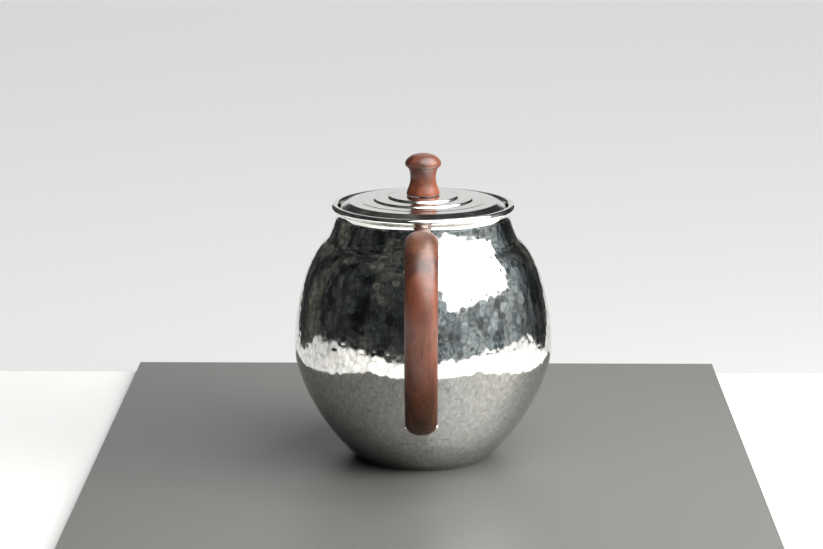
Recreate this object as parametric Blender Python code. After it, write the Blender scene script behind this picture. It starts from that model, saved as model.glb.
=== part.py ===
"""Small hammered silver teapot with a wooden handle and knob, one object for each piece.

Metres, +Z up. The origin is the centre of the base, on the surface the pot stands on.
The handle is towards -Y and the spout towards +Y. The lid lifts off along +Z.
"""

import math

import bmesh
import bpy
from mathutils import Euler, Matrix, Vector
from mathutils.geometry import interpolate_bezier

MM = 0.001

# Driving dimensions
BELLY_RADIUS = 46.0 * MM
BELLY_HEIGHT = 40.8 * MM
BASE_RADIUS = 24.4 * MM
NECK_RADIUS = 30.9 * MM
NECK_FOOT_HEIGHT = 86.7 * MM
RIM_HEIGHT = 90.35 * MM          # centre of the rolled rim
RIM_RADIUS = 32.5 * MM
LID_TOP_HEIGHT = 94.4 * MM
KNOB_TOP_HEIGHT = 109.4 * MM
HANDLE_REACH = 74.8 * MM         # centreline of the grip, from the pot's axis
SPOUT_REACH = 58.5 * MM          # centre of the spout's mouth, from the pot's axis
SPOUT_HEIGHT = 83.4 * MM
WALL = 1.2 * MM                  # silver sheet of the body
GAP = 0.3 * MM                   # clearance between pieces that touch

# Handle and its joints
UPPER_LUG_HEIGHT = 76.5 * MM
LOWER_LUG_HEIGHT = 30.8 * MM
HANDLE_WIDTH_TOP = 11.7 * MM
HANDLE_WIDTH_BOTTOM = 10.8 * MM
HANDLE_DEPTH_TOP = 9.4 * MM
HANDLE_DEPTH_BOTTOM = 8.7 * MM
LUG_FLANGE_RADIUS = 4.6 * MM
LUG_FLANGE_THICKNESS = 1.1 * MM
LUG_NECK_RADIUS = 3.0 * MM
PEG_RADIUS = 2.2 * MM
UPPER_PEG_LENGTH = 8.0 * MM
LOWER_PEG_LENGTH = 17.2 * MM     # reaches into the heel of the handle
UPPER_PIN_SETBACK = 4.6 * MM     # from the end of the wood to the pin
LOWER_PIN_SETBACK = 14.8 * MM
PIN_RADIUS = 0.8 * MM
PIN_STAND_OUT = 0.3 * MM         # how far each end of a pin stands proud of the wood
PIN_DOME = 0.25 * MM
SECTION_POWER = 2.2              # 2 is an ellipse, more is squarer
END_TAPER = 0.93                 # the wood's width at each end, as a share of its full width

# Lid, its fastening and the parts inside the pot
LID_RADIUS = 29.0 * MM
LID_EDGE_HEIGHT = 90.75 * MM
LID_WALL = 0.95 * MM
LID_CONE_RADIUS = 26.5 * MM      # where the flat top meets the sloping wall
LID_LIP_HEIGHT = 0.2 * MM        # upright edge below the sloping wall
LID_STEP_RADII = (12.4 * MM, 17.6 * MM, 22.4 * MM)
LID_STEP_DROPS = (0.9 * MM, 0.75 * MM, 0.25 * MM)
STEP_ROUNDING = 0.8 * MM         # radial width of a rounded riser
BEZEL_RADIUS = 27.5 * MM
BEZEL_WALL = 0.9 * MM
BEZEL_FOOT_HEIGHT = 85.3 * MM
SEAT_HEIGHT = 1.9 * MM
STUD_RADIUS = 1.4 * MM
STUD_BORE = STUD_RADIUS + GAP
STUD_REACH = 7.5 * MM            # how far the stud enters the knob
NUT_RADIUS = 3.2 * MM
NUT_HEIGHT = 2.2 * MM
WASHER_RADIUS = 4.8 * MM
WASHER_THICKNESS = 0.7 * MM
VENT_RADIUS = 1.0 * MM
VENT_OFFSET = 8.8 * MM
STRAINER_RADIUS = 9.2 * MM
STRAINER_THICKNESS = 0.9 * MM
STRAINER_RISE = 3.0 * MM
STRAINER_HOLE_RADIUS = 1.0 * MM
STRAINER_RINGS = ((1, 0.0), (6, 3.3 * MM), (12, 6.5 * MM))

# Spout
SPOUT_WALL = 1.1 * MM
SPOUT_ROOT = (38.5 * MM, 43.5 * MM)     # where its curve starts, inside the body's wall
HOLE_CENTRE = (42.0 * MM, 47.0 * MM)
HOLE_SLOPE = math.radians(16)

# Smoothness
ROUND_STEPS = 48
SMALL_STEPS = 24
FINE_STEPS = 16
SHARP_ANGLE = math.radians(35)
MERGE_DISTANCE = 1e-7


def clear_scene():
    for old in list(bpy.data.objects):
        bpy.data.objects.remove(old, do_unlink=True)


def material(name, colour, roughness, metallic):
    made = bpy.data.materials.new(name)
    made.use_nodes = True
    shader = made.node_tree.nodes["Principled BSDF"]
    shader.inputs["Base Color"].default_value = (*colour, 1.0)
    shader.inputs["Roughness"].default_value = roughness
    shader.inputs["Metallic"].default_value = metallic
    made.diffuse_color = (*colour, 1.0)
    return made


def hammered_silver():
    return material("hammered_silver", (0.84, 0.84, 0.83), 0.10, 1.0)


def polished_silver():
    return material("polished_silver", (0.88, 0.88, 0.87), 0.06, 1.0)


def inner_silver():
    return material("inner_silver", (0.72, 0.72, 0.71), 0.25, 1.0)


def rosewood():
    return material("rosewood", (0.19, 0.06, 0.035), 0.35, 0.0)


def knob_rosewood():
    return material("knob_rosewood", (0.30, 0.10, 0.055), 0.38, 0.0)


def object_from(name, mesh_maker, surface):
    """Finishes a bmesh as a smooth-shaded object."""
    bmesh.ops.remove_doubles(mesh_maker, verts=mesh_maker.verts, dist=MERGE_DISTANCE)
    bmesh.ops.recalc_face_normals(mesh_maker, faces=mesh_maker.faces)
    mesh = bpy.data.meshes.new(name)
    mesh_maker.to_mesh(mesh)
    mesh_maker.free()
    mesh.shade_smooth()
    mesh.set_sharp_from_angle(angle=SHARP_ANGLE)
    made = bpy.data.objects.new(name, mesh)
    bpy.context.scene.collection.objects.link(made)
    if surface:
        mesh.materials.append(surface)
    return made


def turned(name, outline, surface, steps=ROUND_STEPS, closed=False):
    """Spins an outline of (radius, height) points about +Z. A closed outline makes a ring."""
    shape = bmesh.new()
    points = [shape.verts.new((radius, 0.0, height)) for radius, height in outline]
    edges = [shape.edges.new(pair) for pair in zip(points, points[1:])]
    if closed:
        edges.append(shape.edges.new((points[-1], points[0])))
    bmesh.ops.spin(shape, geom=points + edges, cent=(0, 0, 0), axis=(0, 0, 1), dvec=(0, 0, 0),
                   angle=math.tau, steps=steps, use_merge=True, use_duplicate=False)
    return object_from(name, shape, surface)


def cylinder(name, radius, length, surface, steps=FINE_STEPS):
    """A plain cylinder from its own origin along +Z."""
    outline = [(0, 0), (radius, 0), (radius, length), (0, length)]
    return turned(name, outline, surface, steps)


def as_cutter(guide):
    guide.hide_render = True
    guide.display_type = "WIRE"
    return guide


def cut(piece, cutter):
    """Takes the cutter's shape out of the piece."""
    boolean = piece.modifiers.new("cut_" + cutter.name, "BOOLEAN")
    boolean.operation = "DIFFERENCE"
    boolean.solver = "EXACT"
    boolean.object = as_cutter(cutter)


def curve(start, start_handle, end_handle, end, count):
    """Points along one Bezier stretch in the plane of (radius, height)."""
    flat = [Vector((x, y, 0)) for x, y in (start, start_handle, end_handle, end)]
    return [(p.x, p.y) for p in interpolate_bezier(*flat, count)]


def arc(centre, radius, start_degrees, end_degrees, count):
    """Points along an arc in the plane of (radius, height)."""
    points = []
    for index in range(count):
        turn = math.radians(start_degrees + (end_degrees - start_degrees) * index / (count - 1))
        points.append((centre[0] + radius * math.cos(turn), centre[1] + radius * math.sin(turn)))
    return points


def body_outline(count=9):
    """The pot's outer line from the edge of the flat base, over the belly, to the neck's foot."""
    shoulder = (34.6 * MM, 77.9 * MM)
    lower = curve((BASE_RADIUS, 0.5 * MM), (BASE_RADIUS + 10.3 * MM, 8.6 * MM),
                  (BELLY_RADIUS, BELLY_HEIGHT - 12.6 * MM), (BELLY_RADIUS, BELLY_HEIGHT), count)
    upper = curve((BELLY_RADIUS, BELLY_HEIGHT), (BELLY_RADIUS, BELLY_HEIGHT + 7.8 * MM),
                  (shoulder[0] + 9.0 * MM, shoulder[1] - 8.1 * MM), shoulder, count)
    throat = curve(shoulder, (shoulder[0] - 1.6 * MM, shoulder[1] + 1.45 * MM),
                   (NECK_RADIUS + 0.6 * MM, NECK_FOOT_HEIGHT - 2.4 * MM),
                   (NECK_RADIUS, NECK_FOOT_HEIGHT), 4)
    return lower + upper[1:] + throat[1:]


def moved_out(outline, distance):
    """The outline moved along its own outward normals by a distance, or inwards if negative."""
    moved = []
    for index, (radius, height) in enumerate(outline):
        before = Vector(outline[max(index - 1, 0)])
        after = Vector(outline[min(index + 1, len(outline) - 1)])
        along = (after - before).normalized()
        moved.append((radius + along.y * distance, height - along.x * distance))
    return moved


def wall_at(height):
    """The body's outer radius at a height, and its outward normal's angle above level."""
    outline = body_outline(40)
    for (r0, z0), (r1, z1) in zip(outline, outline[1:]):
        if z0 <= height <= z1:
            share = (height - z0) / (z1 - z0)
            return r0 + (r1 - r0) * share, math.atan2(r0 - r1, z1 - z0)
    raise ValueError("no wall at that height")


def spout_frame():
    """The spout's root: a point inside the wall, and the slope of the hole through it."""
    return Vector((0, *HOLE_CENTRE)), HOLE_SLOPE


def make_body(silver):
    outer = body_outline()
    floor = WALL
    inner = [point for point in moved_out(body_outline(7), -WALL) if point[1] > floor + 0.6 * MM]
    foot = [(0, 0), (BASE_RADIUS - 0.6 * MM, 0)]
    top_inner = (NECK_RADIUS - WALL, NECK_FOOT_HEIGHT)
    inside = [top_inner] + inner[-2::-1] + [(BASE_RADIUS - 2.0 * MM, floor), (0, floor)]
    body = turned("body_shell", foot + outer + inside, silver)
    hole = cylinder("spout_hole_cutter", STRAINER_RADIUS + GAP, 20 * MM, None, SMALL_STEPS)
    root, slope = spout_frame()
    hole.location = root - Vector((0, math.cos(slope), math.sin(slope))) * 6 * MM
    hole.rotation_euler = (slope - math.pi / 2, 0, 0)
    cut(body, hole)
    return body


def make_collar(silver):
    """The smooth band above the hammering, with its rolled rim."""
    foot = NECK_FOOT_HEIGHT + GAP
    roll = 1.25 * MM
    centre = (RIM_RADIUS - roll, RIM_HEIGHT)
    rim = arc(centre, roll, -80, 180, 9)
    band = curve((NECK_RADIUS, foot), (NECK_RADIUS - 0.1 * MM, foot + 1.0 * MM),
                 (rim[0][0] - 0.7 * MM, rim[0][1] - 0.1 * MM), rim[0], 6)[:-1]
    bore = NECK_RADIUS - WALL
    inside = [(bore, RIM_HEIGHT - 0.5 * MM), (bore, foot)]
    return turned("neck_collar", band + rim + inside, silver, closed=True)


def make_seat(silver):
    """The ring inside the collar that the lid rests on."""
    outer = NECK_RADIUS - WALL - GAP
    inner = BEZEL_RADIUS + 0.4 * MM
    top = LID_EDGE_HEIGHT - GAP
    edge = 0.3 * MM
    outline = [(inner, top - SEAT_HEIGHT), (outer, top - SEAT_HEIGHT), (outer, top - edge),
               (outer - edge, top), (inner + edge, top), (inner, top - edge)]
    return turned("lid_seat_ring", outline, silver, closed=True)


def lid_outline():
    """The lid's top line from its centre: three rounded steps, then the outer wall."""
    height = LID_TOP_HEIGHT
    line = [(0, height)]
    for radius, drop in zip(LID_STEP_RADII, LID_STEP_DROPS):
        half = min(drop, STEP_ROUNDING) / 2
        line += [(radius - STEP_ROUNDING, height), (radius - 0.3 * STEP_ROUNDING, height - 0.4 * half),
                 (radius, height - 1.2 * half), (radius + 0.1 * STEP_ROUNDING, height - drop)]
        height -= drop
    shoulder = (LID_CONE_RADIUS, height - 0.1 * MM)
    lip = (LID_RADIUS, LID_EDGE_HEIGHT + LID_LIP_HEIGHT)
    slope = Vector((lip[0] - shoulder[0], lip[1] - shoulder[1])).normalized() * 0.5 * MM
    turn = curve((shoulder[0] - 0.5 * MM, shoulder[1]), shoulder, shoulder,
                 (shoulder[0] + slope.x, shoulder[1] + slope.y), 4)
    return line + turn + [lip, (LID_RADIUS, LID_EDGE_HEIGHT)]


def make_lid(silver):
    top = lid_outline()
    lowest = LID_TOP_HEIGHT - sum(LID_STEP_DROPS) - 0.2 * MM - LID_WALL
    under = [(LID_RADIUS - LID_WALL, LID_EDGE_HEIGHT), (LID_CONE_RADIUS - 0.2 * MM, lowest),
             (LID_STEP_RADII[1] - 0.7 * MM, lowest),
             (LID_STEP_RADII[1] - 1.6 * MM, LID_TOP_HEIGHT - LID_STEP_DROPS[0] - LID_WALL),
             (LID_STEP_RADII[0] - 0.7 * MM, LID_TOP_HEIGHT - LID_STEP_DROPS[0] - LID_WALL),
             (LID_STEP_RADII[0] - 1.6 * MM, LID_TOP_HEIGHT - LID_WALL), (0, LID_TOP_HEIGHT - LID_WALL)]
    lid = turned("lid_cover", top + under, silver)
    vent = cylinder("vent_cutter", VENT_RADIUS, 6 * MM, None)
    vent.location = (0, VENT_OFFSET, LID_TOP_HEIGHT - 3 * MM)
    cut(lid, vent)
    bore = cylinder("lid_bore_cutter", STUD_BORE, 6 * MM, None)
    bore.location = (0, 0, LID_TOP_HEIGHT - 3 * MM)
    cut(lid, bore)
    return lid


def make_bezel(silver):
    """The tube under the lid that drops into the seat ring."""
    top = LID_TOP_HEIGHT - sum(LID_STEP_DROPS) - 0.2 * MM - LID_WALL - GAP - 0.3 * MM
    inner = BEZEL_RADIUS - BEZEL_WALL
    edge = 0.3 * MM
    outline = [(inner, BEZEL_FOOT_HEIGHT), (BEZEL_RADIUS - edge, BEZEL_FOOT_HEIGHT),
               (BEZEL_RADIUS, BEZEL_FOOT_HEIGHT + edge), (BEZEL_RADIUS, top), (inner, top)]
    return turned("lid_bezel", outline, silver, closed=True)


def knob_outline():
    """The turned knob from the centre of its foot to the crown."""
    foot = LID_TOP_HEIGHT + GAP
    stem = [(5.85, 0.0), (5.85, 1.0), (5.65, 1.25), (5.3, 2.3), (4.8, 3.6), (4.5, 5.5),
            (4.6, 7.0), (5.0, 8.6), (5.35, 9.6), (5.8, 9.9)]
    cap = curve((5.8 * MM, foot + 9.9 * MM), (6.6 * MM, foot + 10.4 * MM),
                (6.7 * MM, foot + 11.6 * MM), (5.5 * MM, foot + 12.8 * MM), 5)
    crown = curve((5.5 * MM, foot + 12.8 * MM), (4.6 * MM, foot + 13.9 * MM),
                  (2.6 * MM, KNOB_TOP_HEIGHT), (0, KNOB_TOP_HEIGHT), 5)
    return [(0, foot)] + [(r * MM, foot + z * MM) for r, z in stem] + cap[1:] + crown[1:]


def make_knob(wood):
    knob = turned("knob", knob_outline(), wood, SMALL_STEPS)
    bore = cylinder("knob_bore_cutter", STUD_BORE, STUD_REACH + GAP + 1 * MM, None)
    bore.location = (0, 0, LID_TOP_HEIGHT + GAP - 1 * MM)
    cut(knob, bore)
    return knob


def make_knob_fastening(silver):
    """The stud through the lid, and the washer and nut that hold it from below."""
    under = LID_TOP_HEIGHT - LID_WALL
    foot = under - GAP - WASHER_THICKNESS - GAP - NUT_HEIGHT - 0.8 * MM
    stud = cylinder("knob_stud", STUD_RADIUS, LID_TOP_HEIGHT + GAP + STUD_REACH - foot, silver)
    stud.location = (0, 0, foot)
    washer_foot = under - GAP - WASHER_THICKNESS
    ring = [(STUD_BORE, washer_foot), (WASHER_RADIUS, washer_foot),
            (WASHER_RADIUS, washer_foot + WASHER_THICKNESS), (STUD_BORE, washer_foot + WASHER_THICKNESS)]
    turned("knob_washer", ring, silver, SMALL_STEPS, closed=True)
    nut_foot = washer_foot - GAP - NUT_HEIGHT
    hexagon = [(STUD_BORE, nut_foot), (NUT_RADIUS, nut_foot),
               (NUT_RADIUS, nut_foot + NUT_HEIGHT), (STUD_BORE, nut_foot + NUT_HEIGHT)]
    nut = turned("knob_nut", hexagon, silver, 6, closed=True)
    nut.data.shade_flat()


def swept(name, stations, sides, surface):
    """Skins rounded sections along stations of (centre, across, up, half width, half depth, power)."""
    shape = bmesh.new()
    rings = []
    for centre, across, up, half_width, half_depth, power in stations:
        ring = []
        for index in range(sides):
            turn = math.tau * index / sides
            c, s = math.cos(turn), math.sin(turn)
            x = math.copysign(abs(c) ** (2 / power), c) * half_width
            y = math.copysign(abs(s) ** (2 / power), s) * half_depth
            ring.append(shape.verts.new(centre + across * x + up * y))
        rings.append(ring)
    for ring, following in zip(rings, rings[1:]):
        for index in range(sides):
            other = (index + 1) % sides
            shape.faces.new((ring[index], ring[other], following[other], following[index]))
    shape.faces.new(rings[0])
    shape.faces.new(rings[-1])
    return object_from(name, shape, surface)


def lug_place(height):
    """Where a lug leaves the wall on the handle's side: its origin on the wall, and its direction."""
    radius, angle = wall_at(height)
    return Vector((0, -radius, height)), Vector((0, -math.cos(angle), math.sin(angle)))


def handle_path():
    """The handle's centreline from its upper end to its lower end."""
    wood_gap = GAP + LUG_FLANGE_THICKNESS + GAP
    upper, upper_way = lug_place(UPPER_LUG_HEIGHT)
    lower, lower_way = lug_place(LOWER_LUG_HEIGHT)
    start = upper + upper_way * wood_gap
    finish = lower + lower_way * wood_gap
    crest = Vector((0, -55.8 * MM, 87.5 * MM))
    outer = Vector((0, -HANDLE_REACH, 64.0 * MM))
    heel = Vector((0, -60.5 * MM, 27.6 * MM))
    heel_way = Vector((0, -0.99, 0.14))
    level, down = Vector((0, -1, 0)), Vector((0, 0, -1))
    knots = [(start, start + upper_way * 9 * MM, crest - level * 7 * MM, crest, 8),
             (crest, crest + level * 11 * MM, outer - down * 12 * MM, outer, 9),
             (outer, outer + down * 17 * MM, heel + heel_way * 9 * MM, heel, 10),
             (heel, heel - heel_way * 4 * MM, finish + lower_way * 7 * MM, finish, 7)]
    points = []
    for begin, leave, arrive, end, count in knots:
        stretch = interpolate_bezier(begin, leave, arrive, end, count)
        points += stretch if not points else stretch[1:]
    return points


def make_handle(wood):
    points = handle_path()
    lengths = [0.0]
    for before, after in zip(points, points[1:]):
        lengths.append(lengths[-1] + (after - before).length)
    across = Vector((1, 0, 0))
    stations = []
    for index, centre in enumerate(points):
        share = lengths[index] / lengths[-1]
        before, after = points[max(index - 1, 0)], points[min(index + 1, len(points) - 1)]
        along = (after - before).normalized()
        width = HANDLE_WIDTH_TOP + (HANDLE_WIDTH_BOTTOM - HANDLE_WIDTH_TOP) * share
        depth = HANDLE_DEPTH_TOP + (HANDLE_DEPTH_BOTTOM - HANDLE_DEPTH_TOP) * share
        taper = END_TAPER if index in (0, len(points) - 1) else 1.0
        stations.append((centre, across, along.cross(across), width / 2 * taper,
                         depth / 2 * taper, SECTION_POWER))
    return swept("handle", stations, FINE_STEPS, wood)


def make_handle_joint(which, height, handle, width, peg_length, setback, silver):
    """A silver lug on the wall, its peg inside the wood, and the pin through both."""
    place, way = lug_place(height)
    turn = way.to_track_quat("Z", "Y").to_euler()
    flange = GAP
    neck = flange + LUG_FLANGE_THICKNESS
    peg_end = neck + GAP + peg_length
    outline = [(0, flange), (LUG_FLANGE_RADIUS, flange), (LUG_FLANGE_RADIUS - 0.2 * MM, neck - 0.3 * MM),
               (LUG_NECK_RADIUS, neck), (PEG_RADIUS, neck), (PEG_RADIUS, peg_end - 0.4 * MM),
               (PEG_RADIUS - 0.4 * MM, peg_end), (0, peg_end)]
    lug = turned(which + "_handle_lug", outline, silver, FINE_STEPS)
    lug.location = place
    lug.rotation_euler = turn

    socket = cylinder(which + "_socket_cutter", PEG_RADIUS + GAP, peg_length + GAP + 2 * MM, None)
    socket.location = place + way * (neck + GAP - 2 * MM)
    socket.rotation_euler = turn
    cut(handle, socket)

    pin_centre = place + way * (neck + GAP + setback)
    sideways = Euler((0, math.pi / 2, 0))
    drill = cylinder(which + "_pin_cutter", PIN_RADIUS + GAP, 2 * width, None, 12)
    drill.location = pin_centre - Vector((width, 0, 0))
    drill.rotation_euler = sideways
    cut(handle, drill)
    cut(lug, drill)

    length = width + 2 * PIN_STAND_OUT
    pin_line = [(0, 0), (PIN_RADIUS - PIN_DOME, 0), (PIN_RADIUS, PIN_DOME),
                (PIN_RADIUS, length - PIN_DOME), (PIN_RADIUS - PIN_DOME, length), (0, length)]
    pin = turned(which + "_handle_pin", pin_line, silver, 12)
    pin.location = pin_centre - Vector((length / 2, 0, 0))
    pin.rotation_euler = sideways


def spout_stations(inset):
    """Round sections along the spout's curve, made thinner by an inset for its bore."""
    root = Vector((0, *SPOUT_ROOT))
    mouth = Vector((0, SPOUT_REACH, SPOUT_HEIGHT))
    count = 11
    path = interpolate_bezier(root, root + Vector((0, 16, 8)) * MM, mouth - Vector((0, 5.5, 17)) * MM,
                              mouth, count)
    across = Vector((1, 0, 0))
    stations = []
    for index, centre in enumerate(path):
        share = index / (count - 1)
        radius = (12.6 - 12.4 * share + 4.9 * share ** 2) * MM
        before, after = path[max(index - 1, 0)], path[min(index + 1, count - 1)]
        along = (after - before).normalized()
        up = along.cross(across).lerp(Vector((0, 1, 0)), share ** 3).normalized()
        stations.append((centre, across, up, radius - inset, (radius - inset) * 1.04, 2.0))
    return stations, (path[1] - path[0]).normalized(), (path[-1] - path[-2]).normalized()


def make_spout(silver):
    """A tapering tube that starts 0.3 mm off the body's wall and ends in a level mouth."""
    stations, _, _ = spout_stations(0)
    spout = swept("spout", stations, SMALL_STEPS, silver)
    bore_stations, root_way, mouth_way = spout_stations(SPOUT_WALL)
    first, last = bore_stations[0], bore_stations[-1]
    bore_stations = ([(first[0] - root_way * 3 * MM, *first[1:])] + bore_stations +
                     [(last[0] + mouth_way * 3 * MM, *last[1:])])
    bore = swept("spout_bore_cutter", bore_stations, SMALL_STEPS, None)
    cut(spout, bore)
    around = moved_out(body_outline(), GAP)
    pot = turned("pot_cutter", [(0, -1 * MM), (around[0][0], -1 * MM)] + around +
                 [(0, around[-1][1])], None)
    cut(spout, pot)
    return spout


def make_strainer(silver):
    """A pierced dome that closes the hole behind the spout and bulges into the pot."""
    sphere = (STRAINER_RADIUS ** 2 + STRAINER_RISE ** 2) / (2 * STRAINER_RISE)
    count = 4
    outer, inner = [], []
    for index in range(count):
        radius = STRAINER_RADIUS * index / (count - 1)
        sag = sphere - math.sqrt(sphere ** 2 - radius ** 2)
        outer.append((radius, sag))
        inner.append((radius, sag + STRAINER_THICKNESS))
    strainer = turned("spout_strainer", outer + inner[::-1], silver, SMALL_STEPS)
    root, slope = spout_frame()
    way = Vector((0, math.cos(slope), math.sin(slope)))
    turn = Euler((slope - math.pi / 2, 0, 0))
    strainer.location = root - way * 0.4 * MM
    strainer.rotation_euler = turn
    drills = bmesh.new()
    for holes, ring_radius in STRAINER_RINGS:
        for index in range(holes):
            angle = math.tau * (index + 0.13) / holes
            spot = Matrix.Translation((ring_radius * math.cos(angle), ring_radius * math.sin(angle), 2 * MM))
            bmesh.ops.create_cone(drills, cap_ends=True, segments=7, radius1=STRAINER_HOLE_RADIUS,
                                  radius2=STRAINER_HOLE_RADIUS, depth=10 * MM, matrix=spot)
    drill = object_from("strainer_drills", drills, None)
    drill.location = strainer.location
    drill.rotation_euler = turn
    cut(strainer, drill)
    return strainer


def main():
    clear_scene()
    hammered, polished, inner = hammered_silver(), polished_silver(), inner_silver()
    wood, knob_wood = rosewood(), knob_rosewood()
    make_body(hammered)
    make_collar(polished)
    make_seat(polished)
    make_spout(hammered)
    make_strainer(inner)
    handle = make_handle(wood)
    make_handle_joint("upper", UPPER_LUG_HEIGHT, handle, HANDLE_WIDTH_TOP, UPPER_PEG_LENGTH,
                      UPPER_PIN_SETBACK, polished)
    make_handle_joint("lower", LOWER_LUG_HEIGHT, handle, HANDLE_WIDTH_BOTTOM, LOWER_PEG_LENGTH,
                      LOWER_PIN_SETBACK, polished)
    make_lid(polished)
    make_bezel(polished)
    make_knob(knob_wood)
    make_knob_fastening(polished)


main()
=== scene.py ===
"""Hammered silver teapot with a wooden handle and knob, on a grey mat on a pale floor.

Metres, +Z up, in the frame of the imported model. The handle is towards -Y, the spout towards +Y.
"""

import math

import bmesh
import bpy
import numpy as np
from mathutils import Euler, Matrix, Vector
from mathutils.geometry import interpolate_bezier


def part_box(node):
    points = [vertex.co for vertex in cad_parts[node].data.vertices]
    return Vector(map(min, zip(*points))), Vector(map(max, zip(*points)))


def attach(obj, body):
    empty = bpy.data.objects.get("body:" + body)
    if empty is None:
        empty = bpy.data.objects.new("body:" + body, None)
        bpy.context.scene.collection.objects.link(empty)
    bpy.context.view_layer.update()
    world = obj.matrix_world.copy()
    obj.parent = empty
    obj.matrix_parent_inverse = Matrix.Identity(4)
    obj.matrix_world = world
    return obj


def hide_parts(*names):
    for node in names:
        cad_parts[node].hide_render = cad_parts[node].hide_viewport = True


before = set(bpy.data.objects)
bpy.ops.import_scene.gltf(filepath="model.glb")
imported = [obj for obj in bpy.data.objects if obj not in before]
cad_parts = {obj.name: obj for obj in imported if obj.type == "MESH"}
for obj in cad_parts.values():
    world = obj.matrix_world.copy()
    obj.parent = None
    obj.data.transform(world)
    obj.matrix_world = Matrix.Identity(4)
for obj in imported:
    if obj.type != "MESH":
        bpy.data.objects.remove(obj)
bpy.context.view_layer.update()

MM = 0.001
SEED = 7

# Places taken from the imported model
_, BODY_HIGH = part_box("body_shell")
_, COLLAR_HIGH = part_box("neck_collar")
LID_LOW, LID_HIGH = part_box("lid_cover")
KNOB_LOW, KNOB_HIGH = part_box("knob")
BELLY_RADIUS = BODY_HIGH.x
NECK_FOOT = BODY_HIGH.z
COLLAR_RADIUS = COLLAR_HIGH.x
RIM_TOP = COLLAR_HIGH.z
LID_TOP = LID_HIGH.z
LID_EDGE = LID_LOW.z
LID_RADIUS = LID_HIGH.x
KNOB_FOOT, KNOB_TOP = KNOB_LOW.z, KNOB_HIGH.z

# Body and neck, as (radius, height) where there are two numbers
BASE_EDGE = (24.4 * MM, 0.5 * MM)
BASE_ROUNDING = (24.1 * MM, 0.12 * MM)
BASE_FLAT_RADIUS = 23.6 * MM
BASE_INNER_RADIUS = 22.4 * MM
BELLY_HEIGHT = 40.8 * MM
SHOULDER = (34.6 * MM, 77.9 * MM)
NECK_RADIUS = 30.9 * MM
NECK_BORE = 29.7 * MM
RIM_ROLL = 1.25 * MM
WALL = 1.2 * MM

# Lid: each step is (radius, drop) in millimetres
LID_STEPS = ((12.4, 0.9), (17.6, 0.75), (22.4, 0.25))
LID_WALL_TOP_RADIUS = 26.1 * MM
LID_LIP_HEIGHT = 0.2 * MM
LID_THICKNESS = 0.95 * MM
VENT_RADIUS, VENT_OFFSET = 1.0 * MM, 8.8 * MM
STUD_HOLE_RADIUS = 1.7 * MM

# Knob: its stem's outline is (radius, height above its foot) in millimetres
KNOB_STEM = ((5.72, 0.0), (5.86, 0.25), (5.80, 0.8), (5.62, 1.5), (5.33, 2.3), (4.98, 3.2),
             (4.70, 4.2), (4.52, 5.5), (4.55, 6.8), (4.75, 8.0), (5.1, 9.1), (5.45, 9.7),
             (5.8, 9.9))
KNOB_BORE_DEPTH = 7.8 * MM

# Handle
UPPER_LUG, LOWER_LUG = 76.5 * MM, 30.8 * MM       # heights of the lugs on the wall
LUG_THICKNESS = 1.7 * MM
PEG_RADIUS = 2.2 * MM
UPPER_PEG, LOWER_PEG = 8.0 * MM, 17.2 * MM        # how far the pegs reach into the wood
UPPER_PIN_SETBACK, LOWER_PIN_SETBACK = 4.6 * MM, 14.8 * MM
PIN_RADIUS = 0.8 * MM
PIN_STAND_OUT = 0.3 * MM
HANDLE_WIDTH, HANDLE_WIDTH_LOSS = 11.7, 0.9       # millimetres, and what is lost on the way down
HANDLE_DEPTH, HANDLE_DEPTH_LOSS = 9.4, 0.7
HANDLE_SIDES, HANDLE_POWER = 56, 2.2              # power 2 is an oval, more is squarer
HANDLE_END_ROUNDING = 0.55 * MM

# Spout
SPOUT_ROOT, SPOUT_MOUTH = Vector((0, 38.5 * MM, 43.5 * MM)), Vector((0, 58.5 * MM, 83.4 * MM))
SPOUT_WALL = 1.1 * MM
SPOUT_OVAL = 1.04
SPOUT_BITE = 0.35 * MM                            # how far its root reaches into the body's wall
HOLE_RADIUS, HOLE_LENGTH = 9.5 * MM, 20 * MM
HOLE_PLACE, HOLE_SLOPE = Vector((0, 42.0 * MM, 47.0 * MM)), math.radians(16)

# Fineness of the meshes
BODY_AROUND = 540
BODY_UP = 152
SPOUT_AROUND = 132
SPOUT_UP = 110
ROUND = 160

# Hammer marks
MARK_WIDTH_TOP, MARK_HEIGHT_TOP = 2.5 * MM, 2.4 * MM
MARK_WIDTH_LOW, MARK_HEIGHT_LOW = 1.7 * MM, 2.2 * MM
MARK_DEPTH = 0.030 * MM
MARK_HOLLOW_TOP, MARK_HOLLOW_LOW = 2.0, 1.5       # in parts of the wall's own curve
MARK_TILT_TOP, MARK_TILT_LOW = 0.017, 0.008       # spread of the marks' slopes
SPOUT_MARK_WIDTH, SPOUT_MARK_HEIGHT = 2.3 * MM, 2.1 * MM
SPOUT_MARK_HOLLOW, SPOUT_MARK_TILT = 1.3, 0.010
RIDGE_SOFTNESS = 0.004 * MM                       # how wide the outline between two marks reads

# Camera, light and stage
CAMERA_PLACE = (0.0082, -0.9406, 0.2676)
CAMERA_TURN = (math.radians(77.88), 0.0, math.radians(0.75))
CAMERA_LENS = 118.1
POT_MIDDLE = (0, 0, 0.045)
WINDOW_WAY, WINDOW_DISTANCE = (60, 54), 1.3       # azimuth and elevation in degrees
WINDOW_GLOW_WAY = (60, 23)                        # middle of the pale haze beside the window
MAT_BACK = 0.133                                  # the mat's far edge
FLOOR_TOP, FLOOR_FOOT = -0.004, -0.024            # the mat fills the gap up to the pot's base


# Curves and meshes

def curve(start, start_handle, end_handle, end, count):
    """Points along one Bezier stretch in the plane of (radius, height)."""
    flat = [Vector((x, y, 0)) for x, y in (start, start_handle, end_handle, end)]
    return [(p.x, p.y) for p in interpolate_bezier(*flat, count)]


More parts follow.
